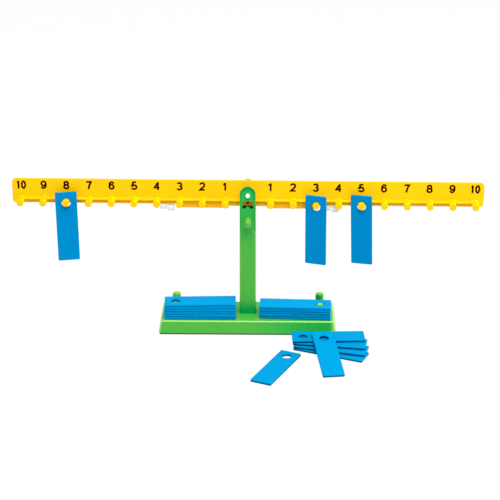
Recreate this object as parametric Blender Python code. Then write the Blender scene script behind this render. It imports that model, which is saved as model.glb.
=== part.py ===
"""A number balance: a pegged beam that swings in a forked post, its base, and its weight tiles.

Lengths are in metres. X runs along the beam, Y to the back and Z up from the table.
"""

import math

import bmesh
import bpy
from mathutils import Matrix, Vector

# Clearances
rest_gap = 0.00025
fit_gap = 0.0003
overrun = 0.002

# Facets of a full turn and of a corner
round_sides = 16
hole_sides = 20
corner_steps = 3

# Weight tile
tile_length = 0.0994
tile_width = 0.0295
tile_thickness = 0.0035
tile_corner = 0.0016
tile_edge = 0.0003
tile_hole = 0.013
tile_hole_inset = 0.0151

# Beam plate, measured down from its top edge
beam_length = 0.645
beam_height = 0.0346
beam_web = 0.003
beam_top_corner = 0.0057
beam_foot_corner = 0.004
pivot_drop = 0.0173
centre_deeper = 0.0021
skirt_deeper = 0.0052
skirt_inner = 0.0262
skirt_outer = 0.0952
skirt_corner = 0.0024

# Rib along both faces of the beam
rib_drop = 0.0267
rib_thickness = 0.002
rib_reach = 0.005

# Pegs of the beam, a row of as many on each side of the pivot, the last one near the beam's end
peg_count = 10
peg_end_margin = 0.0125
peg_drop = 0.0293
peg_diameter = 0.0096
peg_reach = 0.0185
peg_round = 0.0009
peg_gap = 0.0002

# Hub that keeps the beam in the middle of the fork, and the pin through it
hub_diameter = 0.0124
pin_diameter = 0.0064
pin_proud = 0.0005
pin_edge = 0.0004

# Post
pivot_height = 0.198
column_foot_width = 0.0229
column_width = 0.0224
column_foot_depth = 0.0168
column_depth = 0.026
column_corner = 0.0016
column_wall = 0.0024
column_rib = 0.002
column_bays = 4
shoulder = 0.0015
head_width = 0.0219
head_depth = 0.032
head_drop = 0.0474
head_rise = 0.0135
cheek_thickness = 0.004
fork_drop = 0.0221
fork_corner = 0.002
flare_bite = 0.0012
window_width = 0.0146
window_top_drop = 0.0081
window_foot_drop = 0.0193
pointer_width = 0.0068
pointer_height = 0.0035
post_peg_drop = 0.0369
post_peg_diameter = 0.0088
post_peg_reach = 0.017

# Base
base_height = 0.02
base_width = 0.2411
base_depth = 0.068
base_foot_width = 0.2486
base_foot_depth = 0.0744
base_corner = 0.003
base_edge = 0.0014
base_wall = 0.0022
deck_thickness = 0.0025
stiffener = 0.0018
stiffener_lift = 0.0015
socket_wall = 0.0026
socket_floor = 0.0025

# Storage pegs on the base
store_x = 0.1009
store_y = 0.0154
store_peg = 0.0116
store_round = 0.0016
front_peg_height = 0.0195
rear_peg_height = 0.0218

# Sliding clips under the beam
clip_length = 0.0198
clip_depth = 0.0104
clip_slit = 0.0016
clip_jaw_height = 0.0003
clip_jaw_thickness = 0.0009
clip_near_foot = 0.0065
clip_far_top = 0.0017
clip_far_foot = 0.009
clip_bridge_top = 0.0026
clip_bridge_foot = 0.0052
clip_off_shares = {"clip_left": 0.278, "clip_right": 0.449}

# How things stand in the scene: the beam's slight dip to the right and each loose tile's place
rest_tilt = math.radians(0.35)
left_stack_turns = (0.3, -0.3, 0.8, 0.6, 1.7, 2.4)
right_stack_turns = (-3.4, -3.0, -3.6, -3.1, -2.8)
hung_pegs = {"hung_tile_left_8": -8, "hung_tile_right_3": 3, "hung_tile_right_5": 5}
hung_turns = {"hung_tile_left_8": 9.9, "hung_tile_right_3": -19.2, "hung_tile_right_5": -17.0}
hung_swings = {"hung_tile_left_8": 0.6, "hung_tile_right_3": 0.4, "hung_tile_right_5": 1.8}
hung_along_shares = {"hung_tile_left_8": 0.545, "hung_tile_right_3": 0.815, "hung_tile_right_5": 0.625}
loose_x = 0.0539
loose_y = -0.1103
loose_turn = 245.5
pile_x = 0.08
pile_y = -0.0725
pile_turns = (-22.9, -15.4, -8.6, 2.7)
pile_offset_shares = ((0.084, -0.155), (0.04, -0.12), (-0.03, 0.01), (-0.12, 0.06))
lean_foot_x = 0.1158
lean_foot_y = -0.1665
lean_turn = 97.9

# Colours as sRGB
yellow = (1.0, 0.79, 0.02)
green = (0.16, 0.66, 0.27)
blue = (0.01, 0.55, 0.86)
white = (0.95, 0.96, 0.94)
clear = (0.93, 0.95, 0.95)

peg_pitch = (beam_length / 2 - peg_end_margin) / peg_count
head_bottom = pivot_height - head_drop
beam_top = pivot_drop
web_foot = beam_top - beam_height
peg_z = beam_top - peg_drop
stack_pitch = tile_thickness + rest_gap
peg_length = beam_web / 2 + peg_reach


def clear_scene():
    for old in list(bpy.data.objects):
        bpy.data.objects.remove(old, do_unlink=True)


def to_linear(channel):
    if channel <= 0.04045:
        return channel / 12.92
    return ((channel + 0.055) / 1.055) ** 2.4


def plastic(name, colour, roughness, see_through=0.0):
    made = bpy.data.materials.new(name)
    made.use_nodes = True
    shader = made.node_tree.nodes["Principled BSDF"]
    shader.inputs["Base Color"].default_value = [to_linear(c) for c in colour] + [1]
    shader.inputs["Roughness"].default_value = roughness
    shader.inputs["Metallic"].default_value = 0
    shader.inputs["Transmission Weight"].default_value = see_through
    return made


def add_object(name, shape, parent=None, place=(0, 0, 0), turn=(0, 0, 0)):
    """Puts a bmesh, or a mesh that copies share, into the scene."""
    mesh = shape
    if isinstance(shape, bmesh.types.BMesh):
        bmesh.ops.recalc_face_normals(shape, faces=shape.faces)
        mesh = bpy.data.meshes.new(name)
        shape.to_mesh(mesh)
        shape.free()
        mesh.shade_smooth()
        mesh.set_sharp_from_angle(angle=math.radians(35))
    made = bpy.data.objects.new(name, mesh)
    bpy.context.scene.collection.objects.link(made)
    made.parent = parent
    made.location = place
    made.rotation_euler = turn
    return made


def add_empty(name, parent=None, place=(0, 0, 0), turn=(0, 0, 0)):
    made = bpy.data.objects.new(name, None)
    bpy.context.scene.collection.objects.link(made)
    made.empty_display_size = hub_diameter
    made.parent = parent
    made.location = place
    made.rotation_euler = turn
    return made


def paint(piece, colour, roughness=0.35, see_through=0.0):
    """Gives a piece a material of its own, also where its mesh is shared."""
    finish = plastic(piece.name + "_plastic", colour, roughness, see_through)
    if not piece.data.materials:
        piece.data.materials.append(None)
    piece.material_slots[0].link = "OBJECT"
    piece.material_slots[0].material = finish
    return piece


def combine(piece, shape, operation):
    """Joins a helper shape to a piece, cuts it out, or keeps what both share."""
    helper = shape
    if isinstance(shape, bmesh.types.BMesh):
        helper = add_object(piece.name + "_" + operation.lower(), shape)
    helper.parent = piece.parent
    helper.location = piece.location
    helper.rotation_euler = piece.rotation_euler
    helper.hide_render = True
    helper.display_type = "WIRE"
    step = piece.modifiers.new(operation.title(), "BOOLEAN")
    step.operation = operation
    step.object = helper
    step.solver = "EXACT"


def rounded(corners):
    """An outline from (x, y, radius) corners, with an arc of corner_steps where the radius isn't zero."""
    outline = []
    for i, (x, y, radius) in enumerate(corners):
        here = Vector((x, y))
        if not radius:
            outline.append(here)
            continue
        before = (Vector(corners[i - 1][:2]) - here).normalized()
        after = (Vector(corners[(i + 1) % len(corners)][:2]) - here).normalized()
        half = before.angle(after) / 2
        centre = here + (before + after).normalized() * radius / math.sin(half)
        start = here + before * radius / math.tan(half) - centre
        sweep = start.angle_signed(here + after * radius / math.tan(half) - centre)
        for step in range(corner_steps + 1):
            outline.append(centre + Matrix.Rotation(-sweep * step / corner_steps, 2) @ start)
    return outline


def mirrored(half):
    """Corners of the half at +X, from top to bottom, with their mirror image after them."""
    return half + [(-x, y, radius) for x, y, radius in reversed(half)]


def circle(radius, sides):
    turns = [2 * math.pi * i / sides for i in range(sides)]
    return [Vector((radius * math.cos(t), radius * math.sin(t))) for t in turns]


# How an outline's (u, v) and its depth w are laid in space
lay_flat = Matrix.Identity(3)
face_front = Matrix(((1, 0, 0), (0, 0, -1), (0, 1, 0)))
face_side = Matrix(((0, 0, 1), (1, 0, 0), (0, 1, 0)))


def extruded(outline, depth, laid, holes=(), middle=0.0, edge=0.0):
    """A plate with this outline and these holes, half its depth to each side of middle."""
    shape = bmesh.new()
    edges = []
    for loop in (outline, *holes):
        points = [shape.verts.new((p[0], p[1], middle - depth / 2)) for p in loop]
        edges += [shape.edges.new((points[i - 1], points[i])) for i in range(len(points))]
    if holes:
        bmesh.ops.triangle_fill(shape, edges=edges, use_beauty=True)
    else:
        shape.faces.new(shape.verts)
    grown = bmesh.ops.extrude_face_region(shape, geom=list(shape.faces))
    moved = [part for part in grown["geom"] if isinstance(part, bmesh.types.BMVert)]
    bmesh.ops.translate(shape, verts=moved, vec=(0, 0, depth))
    if edge:
        round_rim(shape, len(outline), edge)
    bmesh.ops.transform(shape, matrix=laid.to_4x4(), verts=shape.verts)
    return shape


def round_rim(shape, count, edge):
    """Takes a small chamfer off both rims of the outer outline, whose points come first."""
    shape.verts.ensure_lookup_table()
    outer = {tuple(round(c, 7) for c in v.co[:2]) for v in shape.verts[:count]}
    rim = []
    for side in shape.edges:
        ends = [tuple(round(c, 7) for c in v.co[:2]) for v in side.verts]
        level = side.verts[0].co.z == side.verts[1].co.z
        if level and outer.issuperset(ends) and side.calc_face_angle(0) > 1:
            rim.append(side)
    bmesh.ops.bevel(shape, geom=rim, offset=edge, segments=1, affect="EDGES")


def stacked(rings):
    """A solid through rings of equal count, each a list of 3-D points."""
    shape = bmesh.new()
    loops = [[shape.verts.new(point) for point in ring] for ring in rings]
    for lower, upper in zip(loops, loops[1:]):
        for i in range(len(lower)):
            shape.faces.new((lower[i - 1], lower[i], upper[i], upper[i - 1]))
    shape.faces.new(reversed(loops[0]))
    shape.faces.new(loops[-1])
    return shape


def turned(profile, laid=lay_flat, centre=(0, 0, 0), sides=round_sides):
    """A solid of revolution from (radius, height) points, its height along the laid plate's depth."""
    rings = []
    for radius, height in profile:
        ring = [laid @ Vector((p.x, p.y, height)) + Vector(centre) for p in circle(radius, sides)]
        rings.append(ring)
    return stacked(rings)


def merged(shapes):
    """One bmesh of several that don't touch."""
    whole = bmesh.new()
    for shape in shapes:
        part = bpy.data.meshes.new("part")
        bmesh.ops.recalc_face_normals(shape, faces=shape.faces)
        shape.to_mesh(part)
        shape.free()
        whole.from_mesh(part)
        bpy.data.meshes.remove(part)
    return whole


def box(low, high):
    """A block between two opposite corners."""
    rings = []
    for z in (low[2], high[2]):
        rings.append([(low[0], low[1], z), (high[0], low[1], z), (high[0], high[1], z), (low[0], high[1], z)])
    return stacked(rings)


def rectangle_ring(half_x, half_y, z, corner):
    """A level ring with rounded corners at height z."""
    corners = [(half_x, half_y, corner), (-half_x, half_y, corner)]
    corners += [(-half_x, -half_y, corner), (half_x, -half_y, corner)]
    return [(p.x, p.y, z) for p in rounded(corners)]


def make_tile():
    """The mesh that all tiles share: its hole at the origin, its length along +X."""
    near = -tile_hole_inset
    far = tile_length - tile_hole_inset
    side = tile_width / 2
    corners = [(far, side, tile_corner), (near, side, tile_corner)]
    corners += [(near, -side, tile_corner), (far, -side, tile_corner)]
    hole = circle(tile_hole / 2, hole_sides)
    shape = extruded(rounded(corners), tile_thickness, lay_flat, [hole], edge=tile_edge)
    first = add_object("first_tile", shape)
    mesh = first.data
    bpy.data.objects.remove(first, do_unlink=True)
    return mesh


def add_tile(name, mesh, place, turn, parent=None):
    return paint(add_object(name, mesh, parent, place, turn), blue, 0.3)


def lay_tile(name, mesh, hole_x, hole_y, level, heading):
    """A tile that lies flat, its underside at level and its length along the heading in degrees."""
    place = (hole_x, hole_y, level + tile_thickness / 2)
    return add_tile(name, mesh, place, (0, 0, math.radians(heading)))


def beam_outline():
    """The beam's plate from the front: a straight top, and a foot with two deeper skirts."""
    end = beam_length / 2
    centre_foot = web_foot - centre_deeper
    skirt_foot = web_foot - skirt_deeper
    half = [
        (end, beam_top, beam_top_corner),
        (end, web_foot, beam_foot_corner),
        (skirt_outer, web_foot, skirt_corner / 2),
        (skirt_outer, skirt_foot, skirt_corner),
        (skirt_inner, skirt_foot, skirt_corner / 2),
        (skirt_inner, centre_foot, 0),
    ]
    return rounded(mirrored(half))


def rod(radius, half, edge):
    """The profile of a rod with a rounded-over rim at both ends."""
    tip = []
    for turn in (0, math.pi / 4, math.pi / 2):
        tip.append((radius - edge * (1 - math.cos(turn)), half - edge * (1 - math.sin(turn))))
    return [(across, -along) for across, along in reversed(tip)] + tip


def peg_places():
    """The number and X of each peg, left to right."""
    numbers = [n for n in range(-peg_count, peg_count + 1) if n]
    return [(n, n * peg_pitch) for n in numbers]


def beam_bores():
    """Cutters for the pegs and for the pin, each as wide as what goes through and its gap."""
    far = beam_web / 2 + rib_reach + overrun
    bore = peg_diameter / 2 + peg_gap
    bores = [turned([(bore, -far), (bore, far)], face_front, (x, 0, peg_z)) for _, x in peg_places()]
    pin_bore = pin_diameter / 2 + fit_gap
    far = hub_half() + overrun
    bores.append(turned([(pin_bore, -far), (pin_bore, far)], face_front, sides=hole_sides))
    return merged(bores)


def hub_half():
    return head_depth / 2 - cheek_thickness - fit_gap


def make_beam(pivot):
    beam = add_object("beam", extruded(beam_outline(), beam_web, face_front), pivot)
    rib_end = peg_count * peg_pitch
    rib_out = beam_web / 2 + rib_reach
    rib_top = beam_top - rib_drop
    rib = box((-rib_end, -rib_out, rib_top - rib_thickness), (rib_end, rib_out, rib_top))
    combine(beam, rib, "UNION")
    hub = turned([(hub_diameter / 2, -hub_half()), (hub_diameter / 2, hub_half())], face_front, sides=hole_sides)
    combine(beam, hub, "UNION")
    combine(beam, beam_bores(), "DIFFERENCE")
    return paint(beam, yellow)


def make_pegs(pivot):
    """The pegs, one to a number on each side, in the beam's bores."""
    mesh = None
    for number, x in peg_places():
        side = "left" if number < 0 else "right"
        shape = mesh or turned(rod(peg_diameter / 2, peg_length, peg_round), face_front)
        peg = add_object(f"peg_{side}_{abs(number)}", shape, pivot, (x, 0, peg_z))
        mesh = peg.data
        paint(peg, yellow)


def clip_half(sign, top, foot, jaw):
    """One half of a clip, from the side: a block with two jaws, or with a plain top where jaw is zero."""
    deep = clip_depth / 2
    groove = beam_web / 2 + fit_gap
    side = [(deep, -foot), (deep, -top)]
    if jaw:
        side += [(groove + clip_jaw_thickness, -top), (groove + clip_jaw_thickness, jaw), (groove, jaw), (groove, -top)]
    outline = side + [(-y, z) for y, z in reversed(side)]
    length = (clip_length - clip_slit) / 2
    middle = sign * (clip_slit + length) / 2
    return extruded(outline, length, face_side, middle=middle)


def make_clip(name, x, pivot):
    """A clear clip that slides on the web's foot: a gripping half, a slit, and a half a step lower."""
    near = clip_half(-1, rest_gap, clip_near_foot, clip_jaw_height)
    clip = add_object(name, near, pivot, (x, 0, web_foot))
    combine(clip, clip_half(1, clip_far_top, clip_far_foot, 0), "UNION")
    half = clip_slit / 2 + clip_jaw_thickness
    deep = clip_depth / 2 - clip_jaw_thickness
    combine(clip, box((-half, -deep, -clip_bridge_foot), (half, deep, -clip_bridge_top)), "UNION")
    return paint(clip, clear, 0.08, 0.9)


def hang_tile(name, mesh, pivot):
    """A tile hung by its hole on a beam peg, with an empty on the peg's axis to swing about."""
    along = beam_web / 2 + hung_along_shares[name] * peg_reach
    drop = (tile_hole - peg_diameter) / 2 - rest_gap
    place = (hung_pegs[name] * peg_pitch, -along, peg_z)
    hanger = add_empty(name + "_axis", pivot, place, (0, -rest_tilt, 0))
    turn = (math.pi / 2, math.pi / 2 - math.radians(hung_swings[name]), math.radians(hung_turns[name]))
    return add_tile(name, mesh, (0, 0, -drop), turn, hanger)


def make_head():
    """The forked head from the side, cut to its round-topped outline from the front."""
    deep = head_depth / 2
    inner = deep - cheek_thickness
    foot = column_depth / 2 - flare_bite
    flare_z = head_bottom - (deep - foot)
    top = pivot_height + head_rise
    floor = pivot_height - fork_drop
    side = [
        (deep, head_bottom, 0),
        (deep, top + overrun, 0),
        (inner, top + overrun, 0),
        (inner, floor, fork_corner),
    ]
    corners = [(foot, flare_z, 0)] + side + [(-y, z, r) for y, z, r in reversed(side)] + [(-foot, flare_z, 0)]
    width = head_width + 2 * overrun
    head = add_object("head", extruded(rounded(corners), width, face_side))
    half = head_width / 2
    front = [(half, flare_z - overrun), (half, top - half)]
    front += [(p.x, p.y + top - half) for p in circle(half, 2 * hole_sides)[1:hole_sides]]
    front += [(-half, top - half), (-half, flare_z - overrun)]
    combine(head, extruded(front, head_depth + 2 * overrun, face_front), "INTERSECT")
    return head


def make_window():
    """Cutter for the sight window in both cheeks, its sill rising to a pointer in the middle."""
    half = window_width / 2
    sill = pivot_height - window_foot_drop
    top = pivot_height - window_top_drop
    outline = [
        (half, sill),
        (half, top),
        (-half, top),
        (-half, sill),
        (-pointer_width / 2, sill),
        (0, sill + pointer_height),
        (pointer_width / 2, sill),
    ]
    return extruded(outline, head_depth + 2 * overrun, face_front)


def make_pockets():
    """Cutters for the open bays in the column's back, with ribs left between them."""
    side = column_width / 2 - column_wall
    front = column_wall - column_foot_depth / 2
    back = column_depth / 2 + overrun
    low = base_height + column_wall
    high = head_bottom - head_depth / 2 + column_depth / 2 - column_wall
    pitch = (high - low + column_rib) / column_bays
    bays = []
    for bay in range(column_bays):
        foot = low + bay * pitch
        bays.append(box((-side, front, foot), (side, back, foot + pitch - column_rib)))
    return merged(bays)


def make_post():
    """The post, from its foot in the base's socket to the fork that holds the pin."""
    foot = socket_floor + rest_gap
    rings = [
        rectangle_ring(column_foot_width / 2, column_foot_depth / 2, foot, column_corner),
        rectangle_ring(column_foot_width / 2, column_foot_depth / 2, base_height + shoulder, column_corner),
        rectangle_ring(column_width / 2, column_depth / 2, head_bottom - shoulder, column_corner),
        rectangle_ring(column_width / 2 - shoulder, column_depth / 2 - shoulder / 2, head_bottom, column_corner),
    ]
    post = add_object("post", stacked(rings))
    combine(post, make_head(), "UNION")
    combine(post, make_window(), "DIFFERENCE")
    far = head_depth / 2 + overrun
    bore = pin_diameter / 2 + fit_gap / 2
    pin_hole = turned([(bore, -far), (bore, far)], face_front, (0, 0, pivot_height), hole_sides)
    combine(post, pin_hole, "DIFFERENCE")
    face = head_depth / 2
    tip = face + post_peg_reach
    profile = [(post_peg_diameter / 2, face - cheek_thickness / 2)] + rod(post_peg_diameter / 2, tip, peg_round)[-3:]
    peg = turned(profile, face_front, (0, 0, pivot_height - post_peg_drop))
    combine(post, peg, "UNION")
    combine(post, make_pockets(), "DIFFERENCE")
    return paint(post, green)


def make_pin():
    """The pin that the beam turns on, held in both cheeks."""
    radius = pin_diameter / 2
    far = head_depth / 2 + pin_proud
    profile = [(radius - pin_edge, -far), (radius, pin_edge - far), (radius, far - pin_edge), (radius - pin_edge, far)]
    pin = add_object("pivot_pin", turned(profile, face_front, sides=hole_sides), None, (0, 0, pivot_height))
    return paint(pin, white, 0.25)


def base_half(z, inset=0.0):
    """Half the base's width and depth at height z, less an inset."""
    share = z / base_height
    half_x = base_foot_width / 2 + share * (base_width - base_foot_width) / 2
    half_y = base_foot_depth / 2 + share * (base_depth - base_foot_depth) / 2
    return half_x - inset, half_y - inset


def base_ring(z, inset=0.0):
    half_x, half_y = base_half(z, inset)
    return rectangle_ring(half_x, half_y, z, base_corner)


def base_block():
    """The base's outer form: drafted sides and an edge rounded into the deck."""
    rings = [base_ring(0), base_ring(base_height - base_edge)]
    for turn in (math.pi / 6, math.pi / 3, math.pi / 2):
        z = base_height - base_edge * (1 - math.sin(turn))
        rings.append(base_ring(z, base_edge * (1 - math.cos(turn))))
    return stacked(rings)


def base_cavity():
    """Cutter for the hollow under the deck, one wall inside the outer form."""
    return stacked([base_ring(-overrun, base_wall), base_ring(base_height - deck_thickness, base_wall)])


def stiffener_rings(x, half_x, half_y_inset):
    """A cross rib at x that reaches the middle of both long walls."""
    rings = []
    for z in (stiffener_lift, base_height - deck_thickness / 2):
        half_y = base_half(z, half_y_inset)[1]
        ring = [(x - half_x, -half_y, z), (x + half_x, -half_y, z), (x + half_x, half_y, z), (x - half_x, half_y, z)]
        rings.append(ring)
    return rings


def make_stiffeners():
    """Cross ribs under the deck, the outermost under the storage pegs."""
    ribs = []
    for side in (-1, 1):
        for third in (1, 2, 3):
            x = side * store_x * third / 3
            ribs.append(stacked(stiffener_rings(x, stiffener / 2, base_wall / 2)))
    return merged(ribs)


def make_keel():
    """The rib along the base's middle, reaching both end walls."""
    rings = []
    for z in (stiffener_lift, base_height - deck_thickness / 2):
        half_x = base_half(z, base_wall / 2)[0]
        half_y = stiffener / 2
        rings.append([(-half_x, -half_y, z), (half_x, -half_y, z), (half_x, half_y, z), (-half_x, half_y, z)])
    return stacked(rings)


def store_pegs():
    """The four storage pegs: short ones in front, taller ones behind."""
    sunk = base_height - deck_thickness / 2
    radius = store_peg / 2
    pegs = []
    for y, height in ((-store_y, front_peg_height), (store_y, rear_peg_height)):
        top = base_height + height
        profile = [(radius, sunk), (radius, top - store_round)]
        for turn in (math.pi / 6, math.pi / 3, math.pi / 2):
            inset = store_round * (1 - math.cos(turn))
            profile.append((radius - inset, top - store_round * (1 - math.sin(turn))))
        for x in (-store_x, store_x):
            pegs.append(turned(profile, centre=(x, y, 0)))
    return merged(pegs)


def make_base():
    base = add_object("base", base_block())
    combine(base, base_cavity(), "DIFFERENCE")
    combine(base, make_stiffeners(), "UNION")
    combine(base, make_keel(), "UNION")
    half_x = column_foot_width / 2 + fit_gap
    half_y = column_foot_depth / 2 + fit_gap
    out_x = half_x + socket_wall
    out_y = half_y + socket_wall
    block = box((-out_x, -out_y, 0), (out_x, out_y, base_height - deck_thickness / 2))
    combine(base, block, "UNION")
    rings = [rectangle_ring(half_x, half_y, z, column_corner) for z in (socket_floor, base_height + overrun)]
    combine(base, stacked(rings), "DIFFERENCE")
    combine(base, store_pegs(), "UNION")
    return paint(base, green)


def add_stack(side, turns, mesh):
    """Tiles on a front storage peg, each turned a little about it."""
    sign = -1 if side == "left" else 1
    heading = 0 if side == "left" else 180
    for i, turn in enumerate(turns):
        level = base_height + rest_gap + i * stack_pitch
        lay_tile(f"stack_{side}_{i + 1}", mesh, sign * store_x, -store_y, level, heading + turn)


def add_pile(mesh):
    """Tiles fanned on the table beside the base."""
    for i, (turn, share) in enumerate(zip(pile_turns, pile_offset_shares)):
        x = pile_x + share[0] * tile_width
        y = pile_y + share[1] * tile_width
        lay_tile(f"pile_tile_{i + 1}", mesh, x, y, i * stack_pitch, turn)


def lean_pitch():
    """The slope at which the leaning tile rests on the front edge of the pile's top tile."""
    top_turn = math.radians(pile_turns[-1])
    share = pile_offset_shares[-1]
    edge_x = pile_x + share[0] * tile_width + math.sin(top_turn) * tile_width / 2
    edge_y = pile_y + share[1] * tile_width - math.cos(top_turn) * tile_width / 2
    heading = math.radians(lean_turn)
    across = Vector((-math.sin(top_turn), math.cos(top_turn)))
    ahead = Vector((math.cos(heading), math.sin(heading)))
    away = Vector((edge_x - lean_foot_x, edge_y - lean_foot_y)).dot(across)
    skew = abs(across.angle_signed(ahead))
    run = away / math.cos(skew) - math.tan(skew) * tile_width / 2
    rise = (len(pile_turns) - 1) * stack_pitch + tile_thickness + rest_gap
    return math.atan2(rise, run)


def add_leaning_tile(mesh):
    """A tile with its far end on the table and its hole end up on the pile."""
    pitch = lean_pitch()
    heading = math.radians(lean_turn)
    reach = tile_length - tile_hole_inset
    half = tile_thickness / 2
    run = reach * math.cos(pitch) - half * math.sin(pitch)
    x = lean_foot_x + run * math.cos(heading)
    y = lean_foot_y + run * math.sin(heading)
    z = reach * math.sin(pitch) + half * math.cos(pitch)
    add_tile("leaning_tile", mesh, (x, y, z), (0, pitch, heading + math.pi))


def main():
    clear_scene()
    make_base()
    make_post()
    make_pin()
    pivot = add_empty("beam_axis", None, (0, 0, pivot_height), (0, rest_tilt, 0))
    make_beam(pivot)
    make_pegs(pivot)
    for name, share in clip_off_shares.items():
        x = skirt_outer + clip_length / 2 + share * clip_length
        make_clip(name, x if name == "clip_right" else -x, pivot)
    tile = make_tile()
    for name in hung_pegs:
        hang_tile(name, tile, pivot)
    add_stack("left", left_stack_turns, tile)
    add_stack("right", right_stack_turns, tile)
    add_pile(tile)
    add_leaning_tile(tile)
    lay_tile("loose_tile", tile, loose_x, loose_y, 0, loose_turn)


main()
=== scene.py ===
import math

import bmesh
import bpy
from mathutils import Matrix, Vector


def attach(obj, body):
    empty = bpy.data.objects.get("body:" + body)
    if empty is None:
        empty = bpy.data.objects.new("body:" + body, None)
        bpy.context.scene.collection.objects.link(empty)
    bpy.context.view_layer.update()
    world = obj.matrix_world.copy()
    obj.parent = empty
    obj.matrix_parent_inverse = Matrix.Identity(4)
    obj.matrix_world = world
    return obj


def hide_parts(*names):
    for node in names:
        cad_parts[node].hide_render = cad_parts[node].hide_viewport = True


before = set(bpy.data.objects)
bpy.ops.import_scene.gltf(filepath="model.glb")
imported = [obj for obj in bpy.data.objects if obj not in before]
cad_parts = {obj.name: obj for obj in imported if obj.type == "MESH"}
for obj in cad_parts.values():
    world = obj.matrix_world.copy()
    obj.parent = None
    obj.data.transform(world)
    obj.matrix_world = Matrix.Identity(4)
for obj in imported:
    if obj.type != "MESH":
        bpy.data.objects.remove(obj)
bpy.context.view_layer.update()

mm = 0.001


# Camera, set to the photograph's viewing angle
cameraSettings = {
    "azimuth": 0.8,  # degrees, a touch from the right
    "elevation": 22.0,
    "distance": 2.221,
    "lens": 115.26,  # mm on a 36 mm sensor
    "target": (0.0029, 0.0, 0.1129),
}


def placeCamera(settings):
    around = math.radians(settings["azimuth"])
    above = math.radians(settings["elevation"])
    level = math.cos(above)
    back = Vector((math.sin(around) * level, -math.cos(around) * level, math.sin(above)))
    data = bpy.data.cameras.new("camera")
    data.sensor_width = 36
    data.lens = settings["lens"]
    data.clip_end = 50
    camera = bpy.data.objects.new("camera", data)
    camera.location = Vector(settings["target"]) + back * settings["distance"]
    camera.rotation_euler = (-back).to_track_quat("-Z", "Y").to_euler()
    bpy.context.scene.collection.objects.link(camera)
    bpy.context.scene.camera = camera


placeCamera(cameraSettings)
bpy.context.scene.view_settings.view_transform = "Standard"
print("camera placed")


# Colours and nodes
def linearColour(hexCode):
    channels = [int(hexCode[i:i + 2], 16) / 255 for i in (1, 3, 5)]
    return [c / 12.92 if c <= 0.04045 else ((c + 0.055) / 1.055) ** 2.4 for c in channels] + [1.0]


def addNode(tree, kind, settings=None, links=None):
    node = tree.nodes.new(kind)
    for name, value in (settings or {}).items():
        if isinstance(name, int) or name in node.inputs:
            node.inputs[name].default_value = value
        else:
            setattr(node, name, value)
    for name, source in (links or {}).items():
        tree.links.new(source, node.inputs[name])
    return node


def newMaterial(name):
    material = bpy.data.materials.new(name)
    material.use_nodes = True
    material.node_tree.nodes.clear()
    return material, material.node_tree


# The dye's tone: a random mottle, plus a straight drift along x, y and z
def dyedTone(tree, spot, look):
    flow = addNode(tree, "ShaderNodeTexNoise",
                   {"Scale": 1 / (look["flow"] * mm), "Detail": 2.0, "Roughness": 0.5}, {"Vector": spot})
    perMetre, start = [a / mm for a in look["drift"][:3]], look["drift"][3]
    run = addNode(tree, "ShaderNodeVectorMath", {"operation": "DOT_PRODUCT", 1: perMetre}, {0: spot})
    drift = addNode(tree, "ShaderNodeMath", {"operation": "ADD", 1: start}, {0: run.outputs["Value"]})
    both = addNode(tree, "ShaderNodeMath", {"operation": "ADD", "use_clamp": True},
                   {0: drift.outputs[0], 1: flow.outputs["Fac"]})
    tone = addNode(tree, "ShaderNodeMix", {"data_type": "RGBA"}, {0: both.outputs[0]})
    tone.inputs[6].default_value = linearColour(look["deep"])
    tone.inputs[7].default_value = linearColour(look["bright"])
    return tone.outputs[2]


paintedHighlightBlend = {"slope": 0.3, "level": 0.17, "end": 0.85}  # how wide the edges fade, and how strong the end is


# Painted highlight: paler where light falls, on rounded edges, on flats too where level is past 1, and
# towards one end lit from the side
def wornTone(tree, facing, place, look, tone):
    across = addNode(tree, "ShaderNodeMath", {"operation": "ABSOLUTE"}, {0: facing.outputs["X"]})
    turnedOut = addNode(tree, "ShaderNodeMath", {"operation": "MAXIMUM"},
                        {0: facing.outputs["Z"], 1: across.outputs[0]})
    slope, level = look["slope"], look["level"]
    low = addNode(tree, "ShaderNodeMapRange", {"From Min": slope, "From Max": slope + paintedHighlightBlend["slope"]},
                  {"Value": turnedOut.outputs[0]})
    high = addNode(tree, "ShaderNodeMapRange", {"From Min": level, "From Max": level - paintedHighlightBlend["level"]},
                   {"Value": turnedOut.outputs[0]})
    edge = addNode(tree, "ShaderNodeMath", {"operation": "MULTIPLY"},
                   {0: low.outputs["Result"], 1: high.outputs["Result"]})
    nearer, farther = look["end"]
    end = addNode(tree, "ShaderNodeMapRange",
                  {"From Min": nearer * mm, "From Max": farther * mm, "To Max": paintedHighlightBlend["end"]},
                  {"Value": place.outputs["X"]})
    pale = addNode(tree, "ShaderNodeMath", {"operation": "MAXIMUM"},
                   {0: edge.outputs[0], 1: end.outputs["Result"]})
    # painted highlight: the pale colour is mixed in where the mask says the light falls
    paintedHighlight = addNode(tree, "ShaderNodeMix", {"data_type": "RGBA"}, {0: pale.outputs[0], 6: tone})
    paintedHighlight.inputs[7].default_value = linearColour(look["paintedHighlight"])
    return paintedHighlight.outputs[2]


# Painted shade: deeper towards the foot, where shade gathers near what it stands on, but not on what faces
# down
def footTone(tree, facing, place, look, tone):
    upper, lower = look["foot"]
    foot = addNode(tree, "ShaderNodeMapRange", {"From Min": upper * mm, "From Max": lower * mm},
                   {"Value": place.outputs["Z"]})
    upright = addNode(tree, "ShaderNodeMapRange", {"From Min": -0.8, "From Max": -0.4},
                      {"Value": facing.outputs["Z"]})
    shadeShare = addNode(tree, "ShaderNodeMath", {"operation": "MULTIPLY"},
                       {0: foot.outputs["Result"], 1: upright.outputs["Result"]})
    # painted shade: the under colour is mixed in low down
    paintedShade = addNode(tree, "ShaderNodeMix", {"data_type": "RGBA"}, {0: shadeShare.outputs[0], 6: tone})
    paintedShade.inputs[7].default_value = linearColour(look["under"])
    return paintedShade.outputs[2]
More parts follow.
